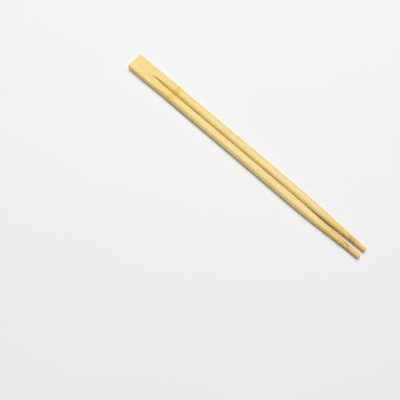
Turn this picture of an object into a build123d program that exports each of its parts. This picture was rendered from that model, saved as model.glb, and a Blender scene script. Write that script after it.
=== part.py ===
from build123d import *
from math import acos, degrees
import os

os.makedirs("parts", exist_ok=True)

# A pair of disposable bamboo chopsticks, still joined at the head: one flat strip of bamboo,
# slit and moulded into two sticks that taper to blunt round tips.
# It lies on its broad face. +X runs from the head to the tips, +Y across the pair, +Z up,
# and the origin is the middle of the footprint, on the surface that the pair lies on.

# Driving sizes, in millimetres
length = 210.0
width = 13.2
thickness = 5.2
head_length = 18.5         # from the square end to where the moulding heads first touch
head_edge_radius = 1.5     # long edges of the strip, as left on the head
head_rim_radius = 0.6      # rim of its square end
slit_width = 0.36          # saw cut between the sticks
side_flat = 0.4            # what stays straight of a stick's side between its rounded edges
cutter_radius = 50.0       # moulding head: it sets how gradually the rounding fades in
taper_length = 56.0        # pointed part of each stick
taper_steps = 8            # spans between the sections that the point is drawn through
tip_size = 3.0             # across the blunt end of a stick
tip_flat = 0.1             # what stays straight between the rounded corners of the blunt end
tip_gap = 3.1              # between the two blunt ends
tip_edge_radius = 0.5
clearance = 1.0            # how far each cutting solid reaches past the strip

# What follows from them
head_end = -length / 2
tip_end = length / 2
taper_start = tip_end - taper_length
middle_height = thickness / 2
edge_radius = (thickness - side_flat) / 2
stick_width = (width - slit_width) / 2
stick_offset = (width + slit_width) / 4    # of a stick's middle from the middle of the pair
tip_offset = (tip_size + tip_gap) / 2      # the same at the blunt end
tip_radius = (tip_size - tip_flat) / 2
shaping_start = head_end + head_length
run_in_length = (2 * cutter_radius * edge_radius + edge_radius**2) ** 0.5
full_depth = shaping_start + run_in_length
slit_start = shaping_start + slit_width
cutter_sweep = 2 * degrees(acos(cutter_radius / (cutter_radius + edge_radius)))


def draw_waste(side):
    """Draw what one moulding head takes off: all that lies outside the two rounded sticks, on one
    side of the middle height. side is 1 for the top and -1 for the bottom."""
    reach = middle_height + clearance
    with Locations((0, middle_height + side * reach / 2)):
        Rectangle(width + 2 * clearance, reach)
    with Locations((-stick_offset, middle_height), (stick_offset, middle_height)):
        RectangleRounded(stick_width, thickness, edge_radius, mode=Mode.SUBTRACT)
    with Locations((0, middle_height)):
        Rectangle(slit_width, side_flat, mode=Mode.SUBTRACT)


def draw_stick(blend):
    """Draw one stick's section: as it is along the parallel part at blend 0, and as it is at the
    blunt end at blend 1."""
    with Locations((stick_offset + blend * (tip_offset - stick_offset), middle_height)):
        RectangleRounded(
            stick_width + blend * (tip_size - stick_width),
            thickness + blend * (tip_size - thickness),
            edge_radius + blend * (tip_radius - edge_radius),
        )


with BuildPart() as chopsticks:
    # Strip, as long as the parallel part of the pair, with its long edges rounded and the rim of
    # its square end eased
    with BuildSketch(Plane.YZ.offset(head_end)):
        with Locations((0, middle_height)):
            RectangleRounded(width, thickness, head_edge_radius)
    extrude(amount=taper_start - head_end)
    fillet(chopsticks.faces().sort_by(Axis.X)[0].edges(), head_rim_radius)

    # Rounding of the sticks' long edges, above and below: each moulding head comes down in an arc,
    # then runs straight to the end of the strip
    for side in (1, -1):
        with BuildSketch(Plane.YZ.offset(full_depth)) as waste:
            draw_waste(side)
        extrude(waste.sketch, amount=taper_start - full_depth + clearance, mode=Mode.SUBTRACT)
        surface = middle_height + side * middle_height
        cutter_axis = Axis((full_depth, 0, surface + side * cutter_radius), (0, side, 0))
        revolve(waste.sketch, cutter_axis, revolution_arc=cutter_sweep, mode=Mode.SUBTRACT)

    # Slit between the sticks
    with BuildSketch(Plane.XY):
        with Locations(((slit_start + taper_start + clearance) / 2, 0)):
            Rectangle(taper_start - slit_start + clearance, slit_width)
    extrude(amount=thickness, mode=Mode.SUBTRACT)

    # Point of each stick: its section goes over from the stick's to the small, all but round one
    # of the tip, slowly at both ends
    sections = []
    for step in range(taper_steps + 1):
        along = step / taper_steps
        with BuildSketch(Plane.YZ.offset(taper_start + along * taper_length)) as section:
            draw_stick(along**2 * (3 - 2 * along))
        sections.append(section.sketch)
    point = loft(sections)
    mirror(point, about=Plane.XZ)

    # Blunt ends, with their rims eased
    tips = chopsticks.faces().filter_by(Axis.X).group_by(Axis.X)[-1]
    fillet(tips.edges(), tip_edge_radius)

chopsticks.part.label = "chopsticks"
export_step(chopsticks.part, "parts/chopsticks.step")
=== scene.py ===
import math

import bmesh
import bpy
import numpy as np
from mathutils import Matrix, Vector


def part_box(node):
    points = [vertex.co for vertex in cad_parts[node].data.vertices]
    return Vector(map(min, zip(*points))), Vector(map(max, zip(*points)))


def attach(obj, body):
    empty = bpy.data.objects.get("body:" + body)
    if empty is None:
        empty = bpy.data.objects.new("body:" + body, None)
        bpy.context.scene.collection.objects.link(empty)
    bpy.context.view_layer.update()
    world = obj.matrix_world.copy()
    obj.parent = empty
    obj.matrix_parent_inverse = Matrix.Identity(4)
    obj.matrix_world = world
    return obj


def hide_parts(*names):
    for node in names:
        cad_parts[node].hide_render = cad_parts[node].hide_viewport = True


# A pair of disposable bamboo chopsticks, still joined at the head: one strip of bamboo, slit and
# moulded into two sticks. It lies on a pale table top. Lengths are in millimetres up to the point
# where a mesh is made: +X runs from the head to the tips, +Y across the pair, +Z up.

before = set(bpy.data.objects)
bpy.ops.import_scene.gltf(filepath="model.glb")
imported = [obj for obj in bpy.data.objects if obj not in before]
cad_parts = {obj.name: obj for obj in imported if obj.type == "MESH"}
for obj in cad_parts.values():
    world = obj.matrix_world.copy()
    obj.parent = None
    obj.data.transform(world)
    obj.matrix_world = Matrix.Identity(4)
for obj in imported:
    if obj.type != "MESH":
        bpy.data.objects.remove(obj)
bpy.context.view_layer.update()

MM = 0.001
SEED = 40
NEARLY = 1e-6               # slack where two worked-out numbers are compared

# ---------------------------------------------------------------- sizes of the pair
strip_low, strip_high = (np.array(corner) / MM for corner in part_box("chopsticks"))
LENGTH, WIDTH, THICKNESS = strip_high - strip_low
HALF_THICKNESS = THICKNESS / 2
HEAD = 18.5                 # square end to the point of the groove
HEAD_EDGE = 1.5             # rounding of the strip's long edges, as left on the head
HEAD_RIM = 0.6              # rounding of the rim of its square end
SLIT = 0.36                 # saw cut between the sticks
SIDE_FLAT = 0.4             # what stays straight of a stick's side
EDGE = (THICKNESS - SIDE_FLAT) / 2
CUTTER = 50.0               # radius of the moulding head
TAPER = 56.0                # pointed part
TIP = 3.0                   # across the blunt end
TIP_FLAT = 0.1              # what stays straight between the rounded corners of the blunt end
TIP_GAP = 3.1               # between the two blunt ends
TIP_EDGE = 0.8              # rounding of the blunt end's rim
STICK = (WIDTH - SLIT) / 2
OFFSET = (WIDTH + SLIT) / 4             # of a stick's middle from the middle of the pair
TIP_OFFSET = (TIP + TIP_GAP) / 2        # the same at the blunt end
FULL_DEPTH = HEAD + math.sqrt(2 * CUTTER * EDGE + EDGE**2)      # the groove is whole from here on
SLIT_LAG = 0.9              # point of the groove to the start of the saw cut
SLIT_START = HEAD + SLIT_LAG
TAPER_START = LENGTH - TAPER

# Joints of the bamboo cane that cross the strip, from the square end: each is a low swelling with
# a scar just before it, and the first one's colour lies a little past its ridge
FIRST_JOINT = 38.7
SECOND_JOINT = 195.0
FIRST_JOINT_HEIGHT = 0.11
SECOND_JOINT_HEIGHT = 0.06
SWELLING_REACH = 1.9
SCAR_LEAD = 2.6
SCAR_REACH = 0.7
SCAR_SHARE = 0.5            # of the swelling's height
FIRST_COLOUR = FIRST_JOINT + 1.6

# The strip isn't quite straight: past the head it steps towards +Y, and the points come back
HEAD_SHIFT = -0.26
STEP_OUT = 0.42
STEP_OUT_SPAN = (12.0, 34.0)
STEP_BACK = 0.28
STEP_BACK_SPAN = (135.0, 190.0)

# The stick on the +Y side is a little slimmer before its point than the other one
SLIMMER = 0.3
SLIMMER_FROM = (105.0, 135.0)
SLIMMER_TO = (158.0, 178.0)

# Unevenness of the skin: how far it stands out or in, and the size of its patches
FIBRE_RELIEF = 0.022, (38, 0.42, 0.42)
BUNDLE_RELIEF = 0.016, (55, 0.9, 0.9)
WAVE_RELIEF = 0.045, (26, 3.5, 3.5)
FIBRE_DRIFT = 0.25, (30, 30, 30)
JOINT_WANDER = 0.7, (60, 2.2, 2.2)


# ---------------------------------------------------------------- shape
def quarter_steps(reach, count):
    """Distances from 0 to reach that stand for equal angles on a quarter circle: reach times one
    minus the cosine of the angle."""
    return reach * (1 - np.cos(np.linspace(0, np.pi / 2, count)))


def s_curve(value, low, high):
    """3t^2 - 2t^3, where t goes from 0 at low to 1 at high."""
    t = np.clip((value - low) / (high - low), 0, 1)
    return t * t * (3 - 2 * t)


def stations():
    """Distances of the cross-sections from the square end: close together round the eased end,
    along the groove's run-in, at the cane's joint and at the blunt tips."""
    spans = (
        quarter_steps(HEAD_RIM, 9),
        np.arange(HEAD_RIM, HEAD, 1.0),
        np.arange(HEAD, FULL_DEPTH, 0.2),
        SLIT_START + quarter_steps(SLIT / 2, 5),
        np.arange(FULL_DEPTH, TAPER_START, 1.2),
        np.arange(FIRST_JOINT - 4, FIRST_JOINT + 4, 0.4),
        np.arange(TAPER_START, LENGTH - TIP_EDGE, 0.9),
        LENGTH - quarter_steps(TIP_EDGE, 7),
    )
    return np.unique(np.round(np.concatenate(spans), 3))


def trip_round_a_stick():
    """One closed trip round a stick's section, from the slit's upper rim over the top, down the
    outer side, back along the bottom and up the slit's wall. Each point is a direction of turn
    from the middle of a corner's rounding, and says where that middle is, from -1 to 1 across and
    from -1 to 1 up. The last value is the number of points before the slit's wall."""
    quarter = np.linspace(0, np.pi / 2, 19)
    flat = np.linspace(-1, 1, 17)
    wall = np.linspace(1, -1, 9)
    legs = (
        (np.pi - quarter, -1 + 0 * quarter, 1 + 0 * quarter),
        (np.pi / 2 + 0 * flat, flat, 1 + 0 * flat),
        (np.pi / 2 - quarter, 1 + 0 * quarter, 1 + 0 * quarter),
        (0 * wall, 1 + 0 * wall, wall),
        (-quarter, 1 + 0 * quarter, -1 + 0 * quarter),
        (-np.pi / 2 + 0 * flat, -flat, -1 + 0 * flat),
        (-np.pi / 2 - quarter, -1 + 0 * quarter, -1 + 0 * quarter),
        (-np.pi + 0 * wall, -1 + 0 * wall, -wall),
    )
    turn, across, up = (np.concatenate([leg[k][:-1] for leg in legs]) for k in range(3))
    return turn, across, up, len(turn) - len(wall) + 1


def stick_sections(along, turn, across, up):
    """Y and height above the middle, for every station and every point of the trip. A section is
    a rounded rectangle: the middle of a corner's rounding plus the radius in the direction of
    turn. Along the point its sizes pass over to the tip's by the S-curve. Where the moulding head
    comes down, the height is that of a circle about the cutter's axis, and it never passes the top
    of the sawn strip, whose own edge is a small quarter circle. Before its full width the slit
    opens as half a circle, and both ends' rims draw in as quarter circles."""
    along = along[:, None]
    blend = s_curve(along, TAPER_START, LENGTH)
    from_tip = np.clip(LENGTH - along, 0, TIP_EDGE)
    inset = TIP_EDGE - np.sqrt(TIP_EDGE**2 - (TIP_EDGE - from_tip) ** 2)
    half_width = STICK / 2 + blend * (TIP - STICK) / 2 - inset
    half_height = HALF_THICKNESS + blend * (TIP / 2 - HALF_THICKNESS) - inset
    radius = EDGE + blend * ((TIP - TIP_FLAT) / 2 - EDGE) - inset
    middle = OFFSET + blend * (TIP_OFFSET - OFFSET)
    y = middle + (half_width - radius) * across + radius * np.cos(turn)
    level = half_height - radius + radius * np.abs(np.sin(turn))

    back = np.clip(FULL_DEPTH - along, 0, None)
    axis = HALF_THICKNESS + CUTTER
    cut = axis - np.sqrt((axis - level) ** 2 - back**2)
    past_edge = np.clip(y - (WIDTH / 2 - HEAD_EDGE), 0, HEAD_EDGE)
    sawn = HALF_THICKNESS - HEAD_EDGE + np.sqrt(HEAD_EDGE**2 - past_edge**2)
    level = np.where(back > 0, np.minimum(cut, sawn), level)

    half_slit = SLIT / 2
    before = np.clip(SLIT_START + half_slit - along, 0, half_slit)
    wall = np.sqrt(half_slit**2 - before**2)
    on_the_wall = np.cos(turn) < -1 + NEARLY
    y = np.where(on_the_wall & (along < FULL_DEPTH), wall, y)

    rim = HEAD_RIM - np.sqrt(HEAD_RIM**2 - np.clip(HEAD_RIM - along, 0, None) ** 2)
    return y * (1 - rim / (WIDTH / 2)), up * level * (1 - rim / HALF_THICKNESS)


def sideways_bow(x):
    """How far the strip lies towards +Y at a distance x from the square end: one S-curve out past
    the head and a longer one back."""
    out = STEP_OUT * s_curve(x, *STEP_OUT_SPAN)
    return HEAD_SHIFT + out - STEP_BACK * s_curve(x, *STEP_BACK_SPAN)


def slimming(x, y):
    """How far the outer side of the stick on the +Y side is drawn in: one S-curve up along the
    stick and another down, times the share of the half-width that y has reached."""
    along_stick = s_curve(x, *SLIMMER_FROM) * (1 - s_curve(x, *SLIMMER_TO))
    return SLIMMER * along_stick * np.clip(y / (WIDTH / 2), 0, 1)


def smooth_noise(places, cell, seed):
    """Values between -1 and 1: random at the corners of a lattice of boxes of size cell, and
    inside each box the blend of its eight corners by the S-curve of the place in it."""
    places = places / np.array(cell)
    first = np.floor(places.min(0)).astype(int)
    counts = np.floor(places.max(0)).astype(int) - first + 2
    values = np.random.default_rng(SEED + seed).uniform(-1, 1, counts)
    places = places - first
    box = np.floor(places).astype(int)
    t = places - box
    t = t * t * (3 - 2 * t)
    total = np.zeros(len(places))
    for corner in np.ndindex(2, 2, 2):
        share = np.prod(np.where(corner, t, 1 - t), axis=1)
        total += share * values[tuple((box + corner).T)]
    return total


def uneven(places, size, seed):
    """Smooth noise times its height, where size is the height and the size of the patches."""
    height, cell = size
    return height * smooth_noise(places, cell, seed)


def bamboo_relief(places):
    """How far the surface stands out or in, in millimetres: ridges that follow the fibres, a slow
    unevenness left by moulding and sanding, and the cane's joints, which wander a little across
    the strip. A joint is a bell curve along the strip less a narrower, lower one before it."""
    x = places[:, 0] - strip_low[0]
    drift = uneven(places, FIBRE_DRIFT, 1)
    fibre_places = places + drift[:, None] * np.array((0, 1, 1))
    fibres = uneven(fibre_places, FIBRE_RELIEF, 2)
    fibres += uneven(fibre_places, BUNDLE_RELIEF, 3)
    wave = uneven(places, WAVE_RELIEF, 4)
    wander = uneven(places, JOINT_WANDER, 5)
    swelling = np.zeros(len(places))
    joints = ((FIRST_JOINT, FIRST_JOINT_HEIGHT), (SECOND_JOINT, SECOND_JOINT_HEIGHT))
    for joint, height in joints:
        off = x - joint - wander
        ridge = np.exp(-((off / SWELLING_REACH) ** 2))
        scar = np.exp(-(((off + SCAR_LEAD) / SCAR_REACH) ** 2))
        swelling += height * ridge - SCAR_SHARE * height * scar
    return fibres + wave + swelling


def new_piece(name, places, faces, material, smooth=True):
    """A mesh object at the origin from places in millimetres and four-cornered faces."""
    mesh = bpy.data.meshes.new(name)
    mesh.from_pydata((places * MM).tolist(), [], faces.tolist())
    piece = bpy.data.objects.new(name, mesh)
    bpy.context.scene.collection.objects.link(piece)
    mesh.materials.append(material)
    mesh.polygons.foreach_set("use_smooth", np.full(len(mesh.polygons), smooth))
    return piece


def grid_faces(rows, columns):
    """The faces between the rows and columns of a grid of points, each as four point numbers."""
    number = np.arange(rows * columns).reshape(rows, columns)
    return np.stack(
        (number[:-1, :-1], number[1:, :-1], number[1:, 1:], number[:-1, 1:]), axis=-1
    )


def chopstick_pair(material):
    """The whole pair as one closed skin. One stick's sections are laid over a grid of stations and
    points of the trip, the other stick is its mirror image, and they share the middle line of the
    head. In the head the slit's wall has no faces. Both ends are closed by rows that shrink: the
    square end towards its middle height and each tip towards its centre. Then every point moves
    along its normal by the relief of the bamboo and sideways by the bow less the slimming, but not
    below the table. Each point keeps, as outward, how squarely it faces away from the other stick:
    the normal's share along Y."""
    along = stations()
    turn, across, up, wall_from = trip_round_a_stick()
    y, z = stick_sections(along, turn, across, up)
    shrink = np.array((0.0, 0.35, 0.7))[:, None]
    head_y, head_z = y[:1] + 0 * shrink, z[:1] * shrink
    centre_y = (y[-1].max() + y[-1].min()) / 2
    tip_y, tip_z = centre_y + (y[-1:] - centre_y) * shrink[::-1], z[-1:] * shrink[::-1]
    x = np.concatenate((along[:1] * np.ones(3), along, along[-1:] * np.ones(3)))
    y = np.concatenate((head_y, y, tip_y))
    z = np.concatenate((head_z, z, tip_z))
    y, z = (np.concatenate((values, values[:, :1]), axis=1) for values in (y, z))
    x = np.broadcast_to(x[:, None], y.shape)
    half = np.stack((x + strip_low[0], y, z + HALF_THICKNESS), axis=-1)

    faces = grid_faces(*x.shape)
    in_the_slit = np.arange(faces.shape[1]) >= wall_from
    row_has_slit = x[:-1, 0] >= SLIT_START - NEARLY
    faces = faces[row_has_slit[:, None] | ~in_the_slit[None, :]]
    places = half.reshape(-1, 3)
    both = np.concatenate((places, places * (1, -1, 1)))
    faces = np.concatenate((faces, faces[:, ::-1] + len(places)))
    pair = new_piece("bamboo_pair", both, faces, material)

    skin = bmesh.new()
    skin.from_mesh(pair.data)
    bmesh.ops.remove_doubles(skin, verts=skin.verts, dist=1e-7)
    loose = [vertex for vertex in skin.verts if not vertex.link_faces]
    bmesh.ops.delete(skin, geom=loose, context="VERTS")
    bmesh.ops.recalc_face_normals(skin, faces=skin.faces)
    skin.to_mesh(pair.data)
    skin.free()

    mesh = pair.data
    count = len(mesh.vertices)
    places, normals = np.empty(count * 3), np.empty(count * 3)
    mesh.vertices.foreach_get("co", places)
    mesh.vertex_normals.foreach_get("vector", normals)
    places, normals = places.reshape(-1, 3) / MM, normals.reshape(-1, 3)
    outward = mesh.attributes.new("outward", "FLOAT", "POINT")
    outward.data.foreach_set("value", np.sign(places[:, 1]) * normals[:, 1])
    places = places + normals * bamboo_relief(places)[:, None]
    x = places[:, 0] - strip_low[0]
    places[:, 1] += sideways_bow(x) - slimming(x, places[:, 1])
    places[:, 2] = np.maximum(places[:, 2], 0)
    mesh.vertices.foreach_set("co", (places * MM).ravel())
    mesh.update()
    return pair


# ---------------------------------------------------------------- materials
class Finish:
    """A material and short ways to add and join its nodes."""

    def __init__(self, name):
        self.material = bpy.data.materials.new(name)
        self.material.use_nodes = True
        self.tree = self.material.node_tree
        self.tree.nodes.clear()
        self.shader = self.add("ShaderNodeBsdfPrincipled")
        output = self.add("ShaderNodeOutputMaterial")
        self.tree.links.new(self.shader.outputs[0], output.inputs["Surface"])

    def add(self, kind, inputs=(), **settings):
        """A node with its settings, and its inputs given as sockets to link or values to set."""
        node = self.tree.nodes.new(kind)
        for key, value in settings.items():
            setattr(node, key, value)
        for key, value in dict(inputs).items():
            if isinstance(value, bpy.types.NodeSocket):
                self.tree.links.new(value, node.inputs[key])
            else:
                node.inputs[key].default_value = value
        return node

    def sums(self, operation, first, second=0.0, third=0.0):
        """The result of a sum on up to three numbers or sockets."""
        node = self.add("ShaderNodeMath", {0: first, 1: second, 2: third}, operation=operation)
        return node.outputs[0]

    def spread(self, value, low, high, to_low=0.0, to_high=1.0, way="SMOOTHSTEP"):
        """value carried from the range low to high over to to_low to to_high, and held there."""
        node = self.add(
            "ShaderNodeMapRange",
            {"Value": value, 1: low, 2: high, 3: to_low, 4: to_high},
            interpolation_type=way,
        )
        return node.outputs[0]

    def tint(self, share, first, second, way="MIX"):
        """The first colour with the second mixed in, or multiplied in, by the given share."""
        node = self.add("ShaderNodeMix", data_type="RGBA", blend_type=way, clamp_factor=True)
        for socket, value in ((0, share), (6, first), (7, second)):
            if isinstance(value, bpy.types.NodeSocket):
                self.tree.links.new(value, node.inputs[socket])
            else:
                node.inputs[socket].default_value = value
        return node.outputs[2]

    def stretched(self, size):
        """Object coordinates in units of size, three lengths in millimetres."""
        place = self.add("ShaderNodeTexCoord").outputs["Object"]
        scale = [1 / (length * MM) for length in size]
        return self.add("ShaderNodeMapping", {"Vector": place, "Scale": scale}).outputs[0]

    def noise(self, size, detail=2.0, roughness=0.5):
        """Cloudy noise whose patches have the given size along X, Y and Z, in millimetres."""
        node = self.add(
            "ShaderNodeTexNoise",
            {
                "Vector": self.stretched(size),
                "Scale": 1.0,
                "Detail": detail,
                "Roughness": roughness,
            },
        )
        return node.outputs["Fac"]


def colour(red, green, blue):
    """An opaque colour from its three linear parts."""
    return (red, green, blue, 1.0)


BACKDROP = colour(0.86, 0.87, 0.875)
BACKDROP_FROM, BACKDROP_TO = 0.2, 0.8       # metres from the middle where the table fades into it


def bamboo_finish():
    """Pale, dry, moulded bamboo. All of it is worked out from the place in the strip, so that the
    fibre bundles run along the sticks as streaks and come out at the sawn ends as dots. The cane's
    joints are warmer, speckled bands with stains past the second one, and the points are a little
    deeper in colour."""
    finish = Finish("bamboo")
    crown = colour(0.83, 0.665, 0.34)
    warm = colour(0.835, 0.615, 0.305)
    green = colour(0.775, 0.645, 0.275)
    head = colour(0.825, 0.64, 0.245)
    fibre = colour(0.72, 0.49, 0.19)
    # These two colours are painted shade. They are multiplied in on the sticks' outer sides and on
    # the sides in the groove between them.
    side = colour(1.0, 0.965, 0.75)
    painted_groove_shade = colour(1.0, 0.99, 0.74)
    point = colour(0.985, 0.865, 0.60)
    joint = colour(0.765, 0.53, 0.11)
    stain = colour(0.42, 0.21, 0.05)

    place = finish.add("ShaderNodeTexCoord").outputs["Object"]
    along = finish.add("ShaderNodeSeparateXYZ", {0: place}).outputs[0]
    along = finish.sums("MULTIPLY_ADD", along, 1 / MM, LENGTH / 2)
    outward = finish.add("ShaderNodeAttribute", attribute_name="outward").outputs["Fac"]

    patches = finish.noise((7, 2.6, 2.6), detail=1.0)
    base = finish.tint(finish.spread(patches, 0.38, 0.62), warm, green)
    slow = finish.noise((34, 1.5, 1.5), detail=2.0)
    base = finish.tint(finish.spread(slow, 0.3, 0.6, 0.35, 1.0), base, crown)
    base = finish.tint(finish.spread(along, 24, 95, 0.9, 0.0), base, head)

    streak = finish.noise((60, 0.32, 0.32), detail=3.0, roughness=0.6)
    base = finish.tint(finish.spread(streak, 0.5, 0.74, 0.0, 0.55), base, fibre)
    fine = finish.noise((22, 0.13, 0.13), detail=2.0)
    base = finish.tint(finish.spread(fine, 0.56, 0.72, 0.0, 0.3), base, fibre)

    # Painted shade on the moulded sides: first the outer sides, deeper and more saturated than the
    # crown, then the sides in the groove between the sticks, deeper still
    base = finish.tint(finish.spread(outward, -0.15, 0.35), base, side, "MULTIPLY")
    base = finish.tint(finish.spread(outward, -0.5, 0.0, 1.0, 0.0), base, painted_groove_shade, "MULTIPLY")

    # Points of the sticks
    far = finish.spread(along, 168, 192)
    base = finish.tint(far, base, point, "MULTIPLY")

    # Joints of the cane
    wander = finish.noise((60, 1.6, 1.6), detail=2.0)
    wander = finish.spread(wander, 0.25, 0.75, -1.5, 1.5, way="LINEAR")
    speckle = finish.noise((1.5, 0.45, 0.45), detail=2.0)
    near_first = finish.sums("ADD", finish.sums("SUBTRACT", along, FIRST_COLOUR), wander)
    band = finish.spread(finish.sums("ABSOLUTE", near_first), 0.8, 4.0, 1.0, 0.0)
    patchy = finish.spread(speckle, 0.38, 0.6, 0.5, 1.0)
    base = finish.tint(finish.sums("MULTIPLY", band, patchy), base, joint)

    near_second = finish.sums("ADD", finish.sums("SUBTRACT", along, SECOND_JOINT), wander)
    band = finish.spread(finish.sums("ABSOLUTE", near_second), 1.5, 5.5, 1.0, 0.0)
    base = finish.tint(finish.sums("MULTIPLY", band, patchy), base, joint)
    past = finish.spread(near_second, 0.5, 2.0)
    past = finish.sums("MULTIPLY", past, finish.spread(near_second, 6.0, 10.0, 1.0, 0.0))
    drawn_out = finish.noise((6.0, 0.38, 0.38), detail=2.0)
    streaky = finish.spread(drawn_out, 0.46, 0.58, 0.0, 0.9)
    base = finish.tint(finish.sums("MULTIPLY", past, streaky), base, stain)

    shader = finish.shader
    finish.tree.links.new(base, shader.inputs["Base Color"])
    rough = finish.spread(streak, 0.3, 0.7, 0.42, 0.62)
    finish.tree.links.new(rough, shader.inputs["Roughness"])
    shader.inputs["Specular IOR Level"].default_value = 0.45
    shader.inputs["Subsurface Weight"].default_value = 0.35
    shader.inputs["Subsurface Radius"].default_value = (1.0, 0.5, 0.15)
    shader.inputs["Subsurface Scale"].default_value = 1.5 * MM
    shader.inputs["Sheen Weight"].default_value = 0.25
    shader.inputs["Sheen Roughness"].default_value = 0.5

    height = finish.sums("ADD", streak, finish.sums("MULTIPLY", fine, 0.5))
    bump = finish.add("ShaderNodeBump", {"Height": height, "Strength": 0.4, "Distance": 0.00007})
    finish.tree.links.new(bump.outputs[0], shader.inputs["Normal"])
    return finish.material


def table_finish():
    """Smooth white table top with a very faint cloudiness. Far from the middle it passes over to
    the backdrop's own brightness, so that its edge doesn't show."""
    finish = Finish("table_white")
    place = finish.add("ShaderNodeTexCoord").outputs["Object"]
    away = finish.add("ShaderNodeVectorMath", {0: place}, operation="LENGTH").outputs["Value"]
    far = finish.spread(away, BACKDROP_FROM, BACKDROP_TO)
    cloud = finish.noise((90, 90, 90), detail=2.0)
    white = finish.tint(cloud, colour(0.795, 0.80, 0.805), colour(0.805, 0.81, 0.815))
    white = finish.tint(far, white, colour(0, 0, 0))
    finish.tree.links.new(white, finish.shader.inputs["Base Color"])
    finish.tree.links.new(far, finish.shader.inputs["Emission Strength"])
    finish.shader.inputs["Emission Color"].default_value = BACKDROP
    finish.shader.inputs["Roughness"].default_value = 0.7
    finish.shader.inputs["Specular IOR Level"].default_value = 0.2
    return finish.material


# ---------------------------------------------------------------- the pair and the table
pair = chopstick_pair(bamboo_finish())
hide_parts("chopsticks")
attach(pair, "root")

TABLE_REACH = 1500.0
TABLE_DROP = 0.01           # keeps it clear of the pair's underside
ends = np.linspace(-TABLE_REACH, TABLE_REACH, 3)
table_x, table_y = np.meshgrid(ends, ends, indexing="ij")
table_places = np.stack((table_x, table_y, np.full(table_x.shape, -TABLE_DROP)), axis=-1)
table_faces = grid_faces(3, 3).reshape(-1, 4)
table = new_piece("table_top", table_places.reshape(-1, 3), table_faces, table_finish(), False)


# ---------------------------------------------------------------- camera and light
CAMERA_AZIMUTH = math.radians(43.41)
CAMERA_ELEVATION = math.radians(70.0)
CAMERA_DISTANCE = 421.2
AIM = Vector((2.54, -44.80, 0.0))
LENS = 56.34
SENSOR = 36.0


def direction(azimuth, elevation):
    """Unit vector from the object towards a place round it: azimuth 0 is the -Y side."""
    return Vector(
        (
            math.sin(azimuth) * math.cos(elevation),
            -math.cos(azimuth) * math.cos(elevation),
            math.sin(elevation),
        )
    )


back = direction(CAMERA_AZIMUTH, CAMERA_ELEVATION)
camera = bpy.data.objects.new("camera", bpy.data.cameras.new("camera"))
bpy.context.scene.collection.objects.link(camera)
camera.location = (AIM + back * CAMERA_DISTANCE) * MM
camera.rotation_mode = "QUATERNION"
camera.rotation_quaternion = (-back).to_track_quat("-Z", "Y")
camera.data.lens = LENS
camera.data.sensor_width = SENSOR
camera.data.clip_start = 0.01
camera.data.clip_end = 20
bpy.context.scene.camera = camera


def softbox(name, azimuth, elevation, distance, side, power):
    """A square area light that faces the middle of the pair: angles in degrees, lengths in metres
    and power in watts."""
    light = bpy.data.lights.new(name, "AREA")
    light.shape = "SQUARE"
    light.size = side
    light.energy = power
    lamp = bpy.data.objects.new(name, light)
    bpy.context.scene.collection.objects.link(lamp)
    towards = direction(math.radians(azimuth), math.radians(elevation))
    lamp.location = towards * distance
    lamp.rotation_mode = "QUATERNION"
    lamp.rotation_quaternion = (-towards).to_track_quat("-Z", "Y")
    return lamp


softbox("window_light", azimuth=223.4, elevation=74, distance=1.6, side=1.1, power=22.3)
softbox("ceiling_light", azimuth=0, elevation=89.9, distance=1.6, side=0.5, power=3.5)

# The room: dim as a light, and a plain pale backdrop where the camera sees it
ROOM_LIGHT = 0.22
world = bpy.data.worlds.new("studio")
bpy.context.scene.world = world
world.use_nodes = True
room = world.node_tree
sky = room.nodes["Background"]
sky.inputs["Color"].default_value = colour(1.0, 1.0, 1.0)
sky.inputs["Strength"].default_value = ROOM_LIGHT
backdrop = room.nodes.new("ShaderNodeBackground")
backdrop.inputs["Color"].default_value = BACKDROP
seen = room.nodes.new("ShaderNodeLightPath")
either = room.nodes.new("ShaderNodeMixShader")
room.links.new(seen.outputs["Is Camera Ray"], either.inputs[0])
room.links.new(sky.outputs[0], either.inputs[1])
room.links.new(backdrop.outputs[0], either.inputs[2])
room.links.new(either.outputs[0], room.nodes["World Output"].inputs["Surface"])

bpy.context.scene.view_settings.view_transform = "Standard"
